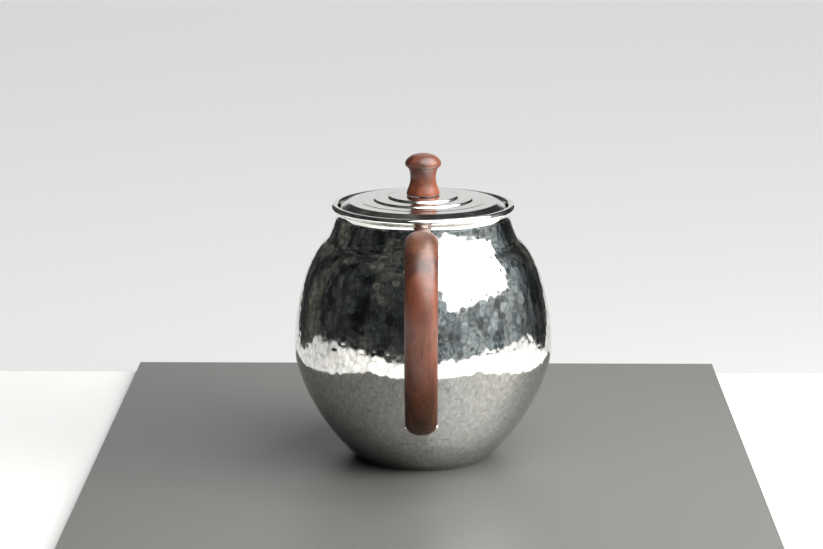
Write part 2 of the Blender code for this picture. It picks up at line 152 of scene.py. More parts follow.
def curve_through(points, count):
    """A smooth line through the points, by Catmull-Rom stretches."""
    points = [Vector((r, z, 0)) for r, z in points]
    ends = [points[0] * 2 - points[1]] + points + [points[-1] * 2 - points[-2]]
    line = []
    for a, b, c, d in zip(ends, ends[1:], ends[2:], ends[3:]):
        stretch = interpolate_bezier(b, b + (c - a) / 6, c - (d - b) / 6, c, count)
        line += stretch if not line else stretch[1:]
    return [(p.x, p.y) for p in line]


def arc(centre, radius, start_degrees, end_degrees, count):
    turns = np.radians(np.linspace(start_degrees, end_degrees, count))
    return [(centre[0] + radius * math.cos(t), centre[1] + radius * math.sin(t)) for t in turns]


def even(line, count):
    """The same line with evenly spaced points."""
    line = np.array(line)
    reach = np.concatenate([[0], np.cumsum(np.linalg.norm(np.diff(line, axis=0), axis=1))])
    wanted = np.linspace(0, reach[-1], count)
    return np.stack([np.interp(wanted, reach, line[:, k]) for k in range(line.shape[1])], axis=1)


def outward(line):
    """Unit normals to the right of the way the line runs."""
    along = np.gradient(np.asarray(line), axis=0)
    along /= np.linalg.norm(along, axis=1, keepdims=True)
    return np.stack([along[:, 1], -along[:, 0]], axis=1)


def finish_mesh(name, vertices, faces, material, sharp=40):
    """An object of these faces, shaded smooth except at edges over the given angle."""
    mesh = bpy.data.meshes.new(name)
    mesh.from_pydata([tuple(v) for v in vertices], [], faces)
    maker = bmesh.new()
    maker.from_mesh(mesh)
    bmesh.ops.remove_doubles(maker, verts=maker.verts, dist=1e-8)
    bmesh.ops.recalc_face_normals(maker, faces=maker.faces)
    maker.to_mesh(mesh)
    maker.free()
    mesh.shade_smooth()
    mesh.set_sharp_from_angle(angle=math.radians(sharp))
    made = bpy.data.objects.new(name, mesh)
    bpy.context.scene.collection.objects.link(made)
    mesh.materials.append(material)
    return made


def ring_faces(rings, sides, closed):
    """Quads between successive rings, and the last with the first for a closed tube of rings."""
    faces = []
    last = rings if closed else rings - 1
    for ring in range(last):
        a, b = ring * sides, ((ring + 1) % rings) * sides
        for side in range(sides):
            other = (side + 1) % sides
            faces.append((a + side, a + other, b + other, b + side))
    return faces


def lathe(name, line, material, sides=ROUND, closed=False, sharp=40):
    """Turns a line of (radius, height) about +Z. Ends on the axis are closed to a point."""
    vertices, faces, rings = [], [], []
    for radius, height in line:
        if radius < 1e-7:
            rings.append([len(vertices)])
            vertices.append((0, 0, height))
        else:
            rings.append(list(range(len(vertices), len(vertices) + sides)))
            for side in range(sides):
                turn = math.tau * side / sides
                vertices.append((radius * math.cos(turn), radius * math.sin(turn), height))
    pairs = list(zip(rings, rings[1:])) + ([(rings[-1], rings[0])] if closed else [])
    for low, high in pairs:
        for side in range(sides):
            other = (side + 1) % sides
            if len(low) == 1 and len(high) > 1:
                faces.append((low[0], high[other], high[side]))
            elif len(high) == 1 and len(low) > 1:
                faces.append((low[side], low[other], high[0]))
            elif len(low) > 1:
                faces.append((low[side], low[other], high[other], high[side]))
    return finish_mesh(name, vertices, faces, material, sharp)


def subtract(piece, cutter):
    """Takes the cutter out of the piece, removes the cutter and keeps the piece's own material."""
    material = piece.data.materials[0]
    boolean = piece.modifiers.new("cut", "BOOLEAN")
    boolean.operation, boolean.solver, boolean.object = "DIFFERENCE", "EXACT", cutter
    bpy.context.view_layer.update()
    evaluated = piece.evaluated_get(bpy.context.evaluated_depsgraph_get())
    result = bpy.data.meshes.new_from_object(evaluated)
    piece.modifiers.clear()
    old, piece.data = piece.data, result
    bpy.data.meshes.remove(old)
    bpy.data.objects.remove(cutter, do_unlink=True)
    piece.data.materials.clear()
    piece.data.materials.append(material)


def mount(piece, body, slot, *nodes):
    """Sets the piece on its body, in place of the nodes it stands for."""
    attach(piece, body)
    if nodes:
        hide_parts(*nodes)
    return piece


# Materials

class Surface:
    """A Principled material built from nodes in the object's own coordinates."""

    def __init__(self, name, metallic=0.0, coat_roughness=0.0, specular=None, coat_ior=1.5):
        self.made = bpy.data.materials.new(name)
        self.made.use_nodes = True
        self.nodes, self.links = self.made.node_tree.nodes, self.made.node_tree.links
        self.shader = self.nodes["Principled BSDF"]
        self.shader.inputs["Metallic"].default_value = metallic
        self.shader.inputs["Coat Roughness"].default_value = coat_roughness
        self.shader.inputs["Coat IOR"].default_value = coat_ior
        if specular is not None:
            self.shader.inputs["Specular IOR Level"].default_value = specular
        self.coordinates = self.nodes.new("ShaderNodeTexCoord").outputs["Object"]

    def stretched(self, scale):
        mapping = self.nodes.new("ShaderNodeMapping")
        mapping.inputs["Scale"].default_value = scale
        self.links.new(self.coordinates, mapping.inputs["Vector"])
        return mapping.outputs["Vector"]

    def noise(self, scale, detail, roughness, stretch=(1, 1, 1), distortion=0.0):
        made = self.nodes.new("ShaderNodeTexNoise")
        made.inputs["Scale"].default_value = scale
        made.inputs["Detail"].default_value = detail
        made.inputs["Roughness"].default_value = roughness
        made.inputs["Distortion"].default_value = distortion
        self.links.new(self.stretched(stretch), made.inputs["Vector"])
        return made.outputs["Fac"]

    def cells(self, scale, stretch):
        made = self.nodes.new("ShaderNodeTexVoronoi")
        made.inputs["Scale"].default_value = scale
        self.links.new(self.stretched(stretch), made.inputs["Vector"])
        return made.outputs["Distance"]

    def by_height(self, stops):
        """A ramp over the height, its stops given in millimetres."""
        split = self.nodes.new("ShaderNodeSeparateXYZ")
        share = self.nodes.new("ShaderNodeMapRange")
        low, high = stops[0][0], stops[-1][0]
        share.inputs["From Min"].default_value = low * MM
        share.inputs["From Max"].default_value = high * MM
        self.links.new(self.coordinates, split.inputs[0])
        self.links.new(split.outputs["Z"], share.inputs["Value"])
        return self.ramp(share.outputs[0], [((place - low) / (high - low), value)
                                            for place, value in stops])

    def ramp(self, value, stops):
        made = self.nodes.new("ShaderNodeValToRGB")
        elements = made.color_ramp.elements
        while len(elements) < len(stops):
            elements.new(0.5)
        for element, (place, colour) in zip(elements, stops):
            element.position = place
            element.color = (*colour, 1.0) if isinstance(colour, tuple) else (colour,) * 3 + (1.0,)
        self.links.new(value, made.inputs["Fac"])
        return made.outputs["Color"]

    def mix(self, share, first, second, kind="MIX"):
        made = self.nodes.new("ShaderNodeMix")
        made.data_type, made.blend_type = "RGBA", kind
        made.inputs[0].default_value = share
        self.links.new(first, made.inputs[6])
        self.links.new(second, made.inputs[7])
        return made.outputs[2]

    def turned_about_axis(self, amount):
        """Stretches reflections across the fine lines that turning leaves."""
        tangent = self.nodes.new("ShaderNodeTangent")
        tangent.direction_type, tangent.axis = "RADIAL", "Z"
        self.links.new(tangent.outputs["Tangent"], self.shader.inputs["Tangent"])
        self.shader.inputs["Anisotropic"].default_value = amount

    def bump(self, height, strength, distance):
        made = self.nodes.new("ShaderNodeBump")
        made.inputs["Strength"].default_value = strength
        made.inputs["Distance"].default_value = distance
        self.links.new(height, made.inputs["Height"])
        self.links.new(made.outputs["Normal"], self.shader.inputs["Normal"])

    def drive(self, socket, value):
        self.links.new(value, self.shader.inputs[socket])


def silver(name, bright, dull, low_rough, high_rough, scratch, stretch, turned=0.0):
    """Silver with faint tarnish in patches and fine polishing scratches."""
    made = Surface(name, metallic=1.0)
    if turned:
        made.turned_about_axis(turned)
    patches = made.noise(38, 5, 0.6)
    clouds = made.noise(160, 3, 0.5)
    colour = made.ramp(patches, [(0.36, dull), (0.62, bright)])
    colour = made.mix(0.12, colour, made.ramp(clouds, [(0.35, 0.62), (0.65, 1.0)]), "MULTIPLY")
    made.drive("Base Color", colour)
    scratches = made.noise(1500, 3, 0.6, stretch)
    mixed = made.mix(0.5, patches, scratches)
    made.drive("Roughness", made.ramp(mixed, [(0.38, low_rough), (0.62, high_rough)]))
    made.bump(scratches, scratch, 0.00002)
    return made.made


def wood(name, dark, middle, light, grain_stretch, rough, pores, painted_light_by_height, wax):
    """Close-grained rosewood: streaks along the grain, short dark pores and a rubbed wax finish.

    The height stops for painted light multiply painted shade and painted highlight into the colour;
    wax gives the wax's strength by height.
    """
    made = Surface(name, coat_roughness=0.38, specular=0.25, coat_ior=1.6)
    made.drive("Coat Weight", made.by_height(wax))
    bands = made.noise(120, 4, 0.6, grain_stretch, 0.8)
    fibres = made.noise(900, 4, 0.65, grain_stretch)
    colour = made.ramp(bands, [(0.34, dark), (0.5, middle), (0.66, light)])
    colour = made.mix(0.45, colour, made.ramp(fibres, [(0.35, 0.35), (0.62, 1.0)]), "MULTIPLY")
    dashes = made.cells(pores, (grain_stretch[0], grain_stretch[1], grain_stretch[2] * 1.8))
    open_pores = made.ramp(dashes, [(0.10, 0.0), (0.26, 1.0)])
    colour = made.mix(0.6, colour, open_pores, "MULTIPLY")
    # Painted shade and painted highlight: the colour is multiplied by a ramp over the height.
    colour = made.mix(1.0, colour, made.by_height(painted_light_by_height), "MULTIPLY")
    made.drive("Base Color", colour)
    made.drive("Roughness", made.ramp(fibres, [(0.35, rough + 0.12), (0.65, rough - 0.05)]))
    height = made.mix(0.5, open_pores, fibres)
    made.bump(height, 0.35, 0.00006)
    return made.made


def hammered():
    """Silver under the hammer: ridges between marks, small upright ovals, fine upright strokes."""
    made = Surface("hammered_silver", metallic=1.0)
    patches = made.noise(34, 5, 0.62)
    ovals = made.cells(640, (1, 1, 0.62))
    strokes = made.noise(1700, 3, 0.6, (1, 1, 0.16))
    ridge = made.nodes.new("ShaderNodeAttribute")
    ridge.attribute_name = "ridge"
    colour = made.ramp(patches, [(0.34, (0.83, 0.82, 0.785)), (0.64, (0.94, 0.93, 0.905))])
    colour = made.mix(0.34, colour, made.ramp(ovals, [(0.15, 1.0), (0.62, 0.45)]), "MULTIPLY")
    colour = made.mix(0.24, colour, made.ramp(strokes, [(0.36, 0.4), (0.62, 1.0)]), "MULTIPLY")
    colour = made.mix(0.34, colour, made.ramp(ridge.outputs["Fac"], [(0.20, 1.0), (0.90, 0.25)]),
                      "MULTIPLY")
    made.drive("Base Color", colour)
    worn = made.mix(0.45, strokes, ridge.outputs["Fac"])
    made.drive("Roughness", made.ramp(worn, [(0.22, 0.045), (0.70, 0.14)]))
    made.bump(made.mix(0.35, ovals, strokes), 0.55, 0.000022)
    return made.made


HAMMERED = hammered()
POLISHED = silver("polished_silver", (0.94, 0.925, 0.90), (0.87, 0.855, 0.82), 0.05, 0.11,
                  0.08, (1, 1, 7))
LID_SILVER = silver("lid_silver", (0.93, 0.92, 0.90), (0.86, 0.85, 0.82), 0.085, 0.15,
                    0.09, (1, 1, 7), 0.65)
INNER = silver("inner_silver", (0.80, 0.785, 0.75), (0.62, 0.60, 0.55), 0.22, 0.36,
               0.25, (1, 1, 4))
# Handle: the height stops paint light into the wood. Painted shade darkens the lower end, and a
# painted pale grey-blue reflection tints the top of the bend.
HANDLE_WOOD = wood("rosewood", (0.046, 0.013, 0.007), (0.110, 0.028, 0.013),
                   (0.165, 0.045, 0.021), (1.0, 1.0, 0.13), 0.40, 620,
                   [(22, (0.34, 0.46, 0.30)), (34, (0.42, 0.50, 0.36)), (42, (0.60, 0.60, 0.48)),
                    (52, (0.80, 0.76, 0.68)), (66, (0.95, 0.93, 0.90)), (86, (0.86, 0.95, 1.0)),
                    (92, (0.95, 1.45, 1.6))],
                   [(22, 0.02), (40, 0.06), (49, 0.30), (57, 0.32), (68, 0.75), (92, 1.0)])
# Knob: the height stops paint light into the wood. A painted highlight brightens the band just
# above the foot; the colour is darker at its very bottom and over the cap.
KNOB_WOOD = wood("knob_rosewood", (0.060, 0.017, 0.010), (0.140, 0.041, 0.022),
                 (0.215, 0.074, 0.040), (1.0, 1.0, 0.22), 0.40, 700,
                 [(94, (0.85, 0.85, 0.80)), (96, (1.15, 1.08, 1.0)), (99, (1.0, 1.0, 0.95)),
                  (104, (0.80, 0.80, 0.80)), (110, (0.85, 0.85, 0.85))],
                 [(94, 0.35), (103, 0.45), (107, 0.80), (110, 0.80)])


# Hammered body

def body_line():
    """The pot's outer line from the edge of the flat base, over the belly, to the neck's foot."""
    belly = (BELLY_RADIUS, BELLY_HEIGHT)
    lower = curve(BASE_EDGE, (BASE_EDGE[0] + 10.3 * MM, 9.1 * MM), (BELLY_RADIUS, 28.2 * MM),
                  belly, 60)
    upper = curve(belly, (BELLY_RADIUS, 48.6 * MM), (43.6 * MM, 69.8 * MM), SHOULDER, 60)
    throat = curve(SHOULDER, (33.0 * MM, 79.35 * MM), (31.5 * MM, NECK_FOOT - 2.4 * MM),
                   (NECK_RADIUS, NECK_FOOT), 24)
    return lower + upper[1:] + throat[1:]


BODY_LINE = np.array(body_line())


def wall_at(height):
    """The body's outer radius at a height, and its outward normal's angle above level."""
    index = int(np.clip(np.searchsorted(BODY_LINE[:, 1], height), 1, len(BODY_LINE) - 1))
    (r0, z0), (r1, z1) = BODY_LINE[index - 1], BODY_LINE[index]
    share = (height - z0) / (z1 - z0)
    return r0 + (r1 - r0) * share, math.atan2(r0 - r1, z1 - z0)


def hammered_height(turn, reach, radius, curl_around, curl_along, rings, seed, fade):
    """Height of a hammered surface, and how near each point is to a ridge between two marks.

    The height is the lowest of the shallow hollows that cover the point. turn and reach are the
    angle about the axis and the length along the outline. Each ring of marks is
    (reach, width, hollow, tilt, radius there).
    """
    rng = np.random.default_rng(seed)
    places = np.array([ring[0] for ring in rings])
    counts, shifts, tables = [], [], []
    for place, width, hollow, tilt, round_at in rings:
        count = max(6, int(round(math.tau * round_at / width)))
        counts.append(count)
        shifts.append(rng.random() * math.tau)
        tables.append((rng.uniform(-0.28, 0.28, count), rng.uniform(-0.26, 0.26, count),
                       MARK_DEPTH * rng.uniform(0.45, 1.35, count),
                       tilt * rng.standard_normal(count), tilt * rng.standard_normal(count),
                       hollow * rng.uniform(0.75, 1.3, count)))
    step = np.gradient(places)
    best, second = np.zeros(turn.shape), np.zeros(turn.shape)
    nearest = np.searchsorted(places, reach)
    for offset in (-2, -1, 0, 1):
        ring = np.clip(nearest + offset, 0, len(rings) - 1)
        for index in np.unique(ring):
            where = np.nonzero(ring == index)
            count = counts[index]
            pitch = math.tau / count
            slot = np.round((turn[where] - shifts[index]) / pitch).astype(int)
            for sideways in (-1, 0, 1):
                mark = (slot + sideways) % count
                jitter_u, jitter_v, depth, tilt_u, tilt_v, hollow = (t[mark] for t in tables[index])
                centre = shifts[index] + (slot + sideways + jitter_u) * pitch
                across = (turn[where] - centre) * radius[where]
                along = reach[where] - places[index] - jitter_v * step[index]
                height = (-depth + hollow * (curl_around[where] * across ** 2 +
                                             curl_along[where] * along ** 2) / 2
                          + tilt_u * across + tilt_v * along)
                second[where] = np.minimum(second[where], np.maximum(best[where], height))
                best[where] = np.minimum(best[where], height)
    return best * fade, np.exp((best - second) / RIDGE_SOFTNESS) * fade


def keep_ridges(piece, ridges):
    """Stores the ridges on the mesh, for the silver's material."""
    values = np.zeros(len(piece.data.vertices), dtype=np.float32)
    values[:len(ridges)] = ridges
    piece.data.attributes.new("ridge", "FLOAT", "POINT").data.foreach_set("value", values)


def share_between(value, low, high):
    share = np.clip((value - low) / (high - low), 0, 1)
    return share * share * (3 - 2 * share)


def make_hammered_body():
    line = even(BODY_LINE, BODY_UP)
    normals = outward(line)
    reach = np.concatenate([[0], np.cumsum(np.linalg.norm(np.diff(line, axis=0), axis=1))])
    curl = np.full((BODY_UP, BODY_AROUND), 1 / BELLY_RADIUS)
    rings, place = [], 1.4 * MM
    while place < reach[-1] - 0.8 * MM:
        radius = float(np.interp(place, reach, line[:, 0]))
        upper = float(share_between(np.interp(place, reach, line[:, 1]), 30 * MM, 46 * MM))
        rings.append((place, MARK_WIDTH_LOW + (MARK_WIDTH_TOP - MARK_WIDTH_LOW) * upper,
                      MARK_HOLLOW_LOW + (MARK_HOLLOW_TOP - MARK_HOLLOW_LOW) * upper,
                      MARK_TILT_LOW + (MARK_TILT_TOP - MARK_TILT_LOW) * upper, radius))
        place += (MARK_HEIGHT_LOW + (MARK_HEIGHT_TOP - MARK_HEIGHT_LOW) * upper) * 0.92
    turns = np.linspace(0, math.tau, BODY_AROUND, endpoint=False)
    turn, row = np.meshgrid(turns, np.arange(BODY_UP))
    fade = share_between(reach, 0.3 * MM, 2.0 * MM) * (1 - share_between(
        reach, reach[-1] - 2.2 * MM, reach[-1] - 0.4 * MM))
    height, ridge = hammered_height(turn, reach[row], line[row, 0], curl, curl,
                                    rings, SEED, fade[row])
    radius = line[row, 0] + normals[row, 0] * height
    level = line[row, 1] + normals[row, 1] * height
    rows = [np.stack([radius * np.cos(turn), radius * np.sin(turn), level], axis=2).reshape(-1, 3)]
    inner_line = [(r - n[0] * WALL, z - n[1] * WALL) for (r, z), n in zip(line, normals)]
    inner = even([p for p in inner_line if p[1] > WALL + 0.6 * MM], 10)[::-1]

    def ring(r, z):
        return np.stack([r * np.cos(turns), r * np.sin(turns), np.full_like(turns, z)], axis=1)

    rows += [ring(r, z) for r, z in inner] + [ring(BASE_INNER_RADIUS, WALL)]
    lower = [ring(BASE_FLAT_RADIUS, 0.0), ring(*BASE_ROUNDING)]
    vertices = np.concatenate(lower + rows)
    total = len(vertices) // BODY_AROUND
    faces = ring_faces(total, BODY_AROUND, False)
    faces.append(tuple(range(BODY_AROUND - 1, -1, -1)))
    faces.append(tuple(range((total - 1) * BODY_AROUND, total * BODY_AROUND)))
    body = finish_mesh("hammered_body", vertices, faces, HAMMERED, 60)
    keep_ridges(body, np.concatenate([np.zeros(len(lower) * BODY_AROUND), ridge.reshape(-1)]))
    hole = lathe("hole", [(0, 0), (HOLE_RADIUS, 0), (HOLE_RADIUS, HOLE_LENGTH), (0, HOLE_LENGTH)],
                 HAMMERED, 64)
    way = Vector((0, math.cos(HOLE_SLOPE), math.sin(HOLE_SLOPE)))
    hole.location = HOLE_PLACE - way * 6 * MM
    hole.rotation_euler = (HOLE_SLOPE - math.pi / 2, 0, 0)
    subtract(body, hole)
    return mount(body, "pot", "hammered_silver", "body_shell")


# Neck, lid and knob

def make_neck():
    foot = NECK_FOOT + 0.02 * MM
    centre = (COLLAR_RADIUS - RIM_ROLL, RIM_TOP - RIM_ROLL)
    rim = arc(centre, RIM_ROLL, -80, 180, 28)
    band = curve((NECK_RADIUS, foot), (NECK_RADIUS - 0.1 * MM, foot + 1.0 * MM),
                 (rim[0][0] - 0.7 * MM, rim[0][1] - 0.1 * MM), rim[0], 16)[:-1]
    inside = [(NECK_BORE, centre[1] - 0.6 * MM), (NECK_BORE, foot)]
    neck = lathe("polished_neck", band + rim + inside, POLISHED, 200, closed=True)
    return mount(neck, "pot", "polished_silver", "neck_collar")


def lid_line():
    """The lid's top line from its centre, with its steps and sloping outer wall.

    Also gives the height of the tread between the last step and that wall.
    """
    height, line = LID_TOP, [(0, LID_TOP), (6 * MM, LID_TOP)]
    for radius, drop in LID_STEPS:
        edge, fall = radius * MM, drop * MM
        line += curve((edge - 0.9 * MM, height), (edge - 0.1 * MM, height),
                      (edge - 0.25 * MM, height - 0.9 * fall), (edge + 0.25 * MM, height - fall), 9)
        height -= fall
    shoulder = (LID_WALL_TOP_RADIUS, height - 0.05 * MM)
    lip = (LID_RADIUS, LID_EDGE + LID_LIP_HEIGHT)
    slope = Vector((lip[0] - shoulder[0], lip[1] - shoulder[1])).normalized() * 0.45 * MM
    turn = curve((shoulder[0] - 0.45 * MM, shoulder[1]), shoulder, shoulder,
                 (shoulder[0] + slope.x, shoulder[1] + slope.y), 8)
    low = curve((lip[0] - slope.x * 0.4, lip[1] - slope.y * 0.4), lip, lip,
                (lip[0], lip[1] - 0.12 * MM), 5)
    return line + turn + low + [(LID_RADIUS - 0.08 * MM, LID_EDGE)], height


def make_lid():
    top, height = lid_line()
    outer, centre = height - LID_THICKNESS - 0.1 * MM, LID_TOP - LID_THICKNESS
    middle = centre - LID_STEPS[0][1] * MM
    under = [(LID_RADIUS - LID_THICKNESS, LID_EDGE), (26.3 * MM, outer), (16.9 * MM, outer),
             (16.0 * MM, middle), (11.7 * MM, middle), (10.8 * MM, centre), (0, centre)]
    lid = lathe("polished_lid", top + under, LID_SILVER, 200)
    for radius, offset in ((VENT_RADIUS, VENT_OFFSET), (STUD_HOLE_RADIUS, 0.0)):
        drill = lathe("drill", [(0, 0), (radius, 0), (radius, 6 * MM), (0, 6 * MM)], POLISHED, 32)
        drill.location = (0, offset, LID_TOP - 3 * MM)
        subtract(lid, drill)
    return mount(lid, "lid", "polished_silver", "lid_cover")


def make_knob():
    stem = curve_through([(r * MM, KNOB_FOOT + z * MM) for r, z in KNOB_STEM], 5)
    cap = curve((5.8 * MM, KNOB_FOOT + 9.9 * MM), (6.6 * MM, KNOB_FOOT + 10.4 * MM),
                (6.7 * MM, KNOB_FOOT + 11.6 * MM), (5.5 * MM, KNOB_FOOT + 12.8 * MM), 14)
    crown = curve((5.5 * MM, KNOB_FOOT + 12.8 * MM), (4.6 * MM, KNOB_FOOT + 13.9 * MM),
                  (2.6 * MM, KNOB_TOP), (0, KNOB_TOP), 14)
    bore_top = KNOB_FOOT + KNOB_BORE_DEPTH
    bore = [(0, bore_top), (STUD_HOLE_RADIUS, bore_top), (STUD_HOLE_RADIUS, KNOB_FOOT)]
    line = bore + stem + cap[1:] + crown[1:]
    knob = lathe("turned_knob", line, KNOB_WOOD, 96, sharp=50)
    return mount(knob, "lid", "knob_rosewood", "knob")


# Handle and its joints

def lug_place(height):
    """Where a lug leaves the wall, and its direction."""
    radius, angle = wall_at(height)
    return Vector((0, -radius, height)), Vector((0, -math.cos(angle), math.sin(angle)))


def handle_path():
    """The handle's centreline from its upper end to its lower end."""
    upper, upper_way = lug_place(UPPER_LUG)
    lower, lower_way = lug_place(LOWER_LUG)
    start, finish = upper + upper_way * LUG_THICKNESS, lower + lower_way * LUG_THICKNESS
    crest = Vector((0, -55.8 * MM, 87.5 * MM))
    outer = Vector((0, -74.8 * MM, 64.0 * MM))
    heel, heel_way = Vector((0, -60.5 * MM, 27.6 * MM)), Vector((0, -0.99, 0.14))
    level, down = Vector((0, -1, 0)), Vector((0, 0, -1))
    knots = [(start, start + upper_way * 9 * MM, crest - level * 7 * MM, crest),
             (crest, crest + level * 11 * MM, outer - down * 12 * MM, outer),
             (outer, outer + down * 17 * MM, heel + heel_way * 9 * MM, heel),
             (heel, heel - heel_way * 4 * MM, finish + lower_way * 7 * MM, finish)]
    points = []
    for knot in knots:
        stretch = interpolate_bezier(*knot, 48)
        points += stretch if not points else stretch[1:]
    return even(np.array([(p.y, p.z) for p in points]), 150)


def make_handle():
    path = handle_path()
    along = np.gradient(path, axis=0)
    along /= np.linalg.norm(along, axis=1, keepdims=True)
    reach = np.concatenate([[0], np.cumsum(np.linalg.norm(np.diff(path, axis=0), axis=1))])
    share = reach / reach[-1]
    turns = np.linspace(0, math.tau, HANDLE_SIDES, endpoint=False)
    across = np.sign(np.cos(turns)) * np.abs(np.cos(turns)) ** (2 / HANDLE_POWER)
    deep = np.sign(np.sin(turns)) * np.abs(np.sin(turns)) ** (2 / HANDLE_POWER)
    rings, rounding = [], HANDLE_END_ROUNDING
    for index, (y, z) in enumerate(path):
        end = min(reach[index], reach[-1] - reach[index])
        soft = 1 - 0.07 * (1 - share_between(end, 0, 5 * MM))
        inset = rounding - math.sqrt(max(rounding ** 2 - max(rounding - end, 0) ** 2, 0))
        width = (HANDLE_WIDTH - HANDLE_WIDTH_LOSS * share[index]) / 2 * MM * soft - inset
        depth = (HANDLE_DEPTH - HANDLE_DEPTH_LOSS * share[index]) / 2 * MM * soft - inset
        normal = np.array([along[index][1], -along[index][0]])
        rings.append(np.stack([across * width, y + deep * depth * normal[0],
                               z + deep * depth * normal[1]], axis=1))
    vertices = np.concatenate(rings)
    faces = ring_faces(len(path), HANDLE_SIDES, False)
    faces.append(tuple(range(HANDLE_SIDES - 1, -1, -1)))
    faces.append(tuple(range((len(path) - 1) * HANDLE_SIDES, len(path) * HANDLE_SIDES)))
    handle = finish_mesh("wooden_handle", vertices, faces, HANDLE_WOOD, 50)
    return mount(handle, "pot", "rosewood", "handle")


def make_handle_joint(which, height, width, peg, setback):
    """A silver lug on the wall, its peg inside the wood, and the pin across both."""
    place, way = lug_place(height)
    turn = way.to_track_quat("Z", "Y").to_euler()
    flange = [(0, -0.1 * MM), (4.75 * MM, -0.1 * MM), (4.7 * MM, 0.35 * MM)]
    flange += arc((4.3 * MM, 1.0 * MM), 0.4 * MM, 0, 90, 7)
    flange += [(3.3 * MM, 1.4 * MM), (3.0 * MM, 1.75 * MM), (PEG_RADIUS, 1.75 * MM),
               (PEG_RADIUS, peg + 1.3 * MM), (1.8 * MM, peg + LUG_THICKNESS),
               (0, peg + LUG_THICKNESS)]
    lug = lathe(which + "_lug", flange, POLISHED, 64)
    lug.location, lug.rotation_euler = place, turn
    mount(lug, "pot", "polished_silver", which + "_handle_lug")
    half = width / 2 + PIN_STAND_OUT
    dome = curve((PIN_RADIUS, half - 0.25 * MM), (0.78 * MM, half - 0.08 * MM), (0.4 * MM, half),
                 (0, half), 7)
    line = [(r, -z) for r, z in dome[::-1]] + dome
    pin = lathe(which + "_pin", line, POLISHED, 32)
    pin.location = place + way * (setback + LUG_THICKNESS)
    pin.rotation_euler = Euler((0, math.pi / 2, 0))
    mount(pin, "pot", "polished_silver", which + "_handle_pin")


# Spout

def make_spout():
    """A hammered tapering tube with a level mouth. Its root is cut to the body's curve."""
    path = interpolate_bezier(SPOUT_ROOT, SPOUT_ROOT + Vector((0, 16, 8)) * MM,
                              SPOUT_MOUTH - Vector((0, 5.5, 17)) * MM, SPOUT_MOUTH, SPOUT_UP)
    count = len(path)
    turns = np.linspace(0, math.tau, SPOUT_AROUND, endpoint=False)
    path = np.array([(p.y, p.z) for p in path])
    along = np.gradient(path, axis=0)
    along /= np.linalg.norm(along, axis=1, keepdims=True)
    reach = np.concatenate([[0], np.cumsum(np.linalg.norm(np.diff(path, axis=0), axis=1))])
    share = np.linspace(0, 1, count)
    radius = (12.6 - 12.4 * share + 4.9 * share ** 2) * MM
    rings, place = [], 1.0 * MM
    while place < reach[-1] - 1.0 * MM:
        local = float(np.interp(place, reach, radius))
        rings.append((place, SPOUT_MARK_WIDTH, SPOUT_MARK_HOLLOW, SPOUT_MARK_TILT, local))
        place += SPOUT_MARK_HEIGHT
    turn, row = np.meshgrid(turns, np.arange(count))
    fade = (1 - share_between(reach, reach[-1] - 3.4 * MM, reach[-1] - 1.2 * MM)) * 0.9
    curl = np.clip(1 / radius, 60, 160)
    height, ridge = hammered_height(turn, reach[row], radius[row], curl[row] * 0.55,
                                    np.full(turn.shape, 24.0), rings, SEED + 1, fade[row])
    blend = share ** 3
    up_y, up_z = along[:, 1] * (1 - blend) + blend, -along[:, 0] * (1 - blend)
    length = np.sqrt(up_y ** 2 + up_z ** 2)
    up_y, up_z = up_y / length, up_z / length

    def ring(index, inset, bumps):
        r = radius[index] - inset + bumps
        x = r * np.cos(turns)
        d = r * SPOUT_OVAL * np.sin(turns)
        return np.stack([x, path[index][0] + d * up_y[index], path[index][1] + d * up_z[index]],
                        axis=1)

    outer = [ring(i, 0, height[i]) for i in range(count)]
    lip = [ring(count - 1, 0.25 * MM, 0), ring(count - 1, 0.85 * MM, 0)]
    inner = [ring(i, SPOUT_WALL, 0) for i in range(count - 3, -1, -5)]
    vertices = np.concatenate(outer + lip + inner)
    total = len(vertices) // SPOUT_AROUND
    spout = finish_mesh("hammered_spout", vertices, ring_faces(total, SPOUT_AROUND, True),
                        HAMMERED, 60)
    keep_ridges(spout, ridge.reshape(-1))
    inside = BODY_LINE - outward(BODY_LINE) * SPOUT_BITE
    line = [(0, -1 * MM), (inside[0][0], -1 * MM)] + [tuple(p) for p in even(inside, 60)]
    subtract(spout, lathe("pot_core", line + [(0, inside[-1][1])], HAMMERED, 128))
    return mount(spout, "pot", "hammered_silver", "spout")


# Inner and hidden pieces

def finish_carried_nodes():
    """Gives each CAD node that stays its own procedural metal."""
    for node, material in (("spout_strainer", INNER), ("lid_seat_ring", POLISHED),
                           ("lid_bezel", POLISHED), ("knob_stud", INNER),
                           ("knob_washer", POLISHED), ("knob_nut", POLISHED)):
        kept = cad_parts[node]
        kept = kept if isinstance(kept, bpy.types.Object) else bpy.data.objects[node]
        kept.data.materials.clear()
        kept.data.materials.append(material)


# Stage, light and camera

def plain(name, colour, roughness=0.85, specular=0.15, glow=0.0):
    """An even surface for the stage."""
    made = bpy.data.materials.new(name)
    made.use_nodes = True
    shader = made.node_tree.nodes["Principled BSDF"]
    shader.inputs["Base Color"].default_value = (*colour, 1.0)
    shader.inputs["Roughness"].default_value = roughness
    shader.inputs["Specular IOR Level"].default_value = specular
    shader.inputs["Emission Color"].default_value = (1.0, 1.0, 1.0, 1.0)
    shader.inputs["Emission Strength"].default_value = glow
    return made


def slab(name, low, high, material, near=1.0):
    """A box on the stage. near scales the width of its front edge."""
    (x0, y0, z0), (x1, y1, z1) = low, high
    corners = [(x * (near if y == y0 else 1), y, z)
               for z in (z0, z1) for y in (y0, y1) for x in (x0, x1)]
    faces = [(0, 2, 3, 1), (4, 5, 7, 6), (0, 1, 5, 4), (2, 6, 7, 3), (0, 4, 6, 2), (1, 3, 7, 5)]
    made = finish_mesh(name, corners, faces, material, 30)
    return made


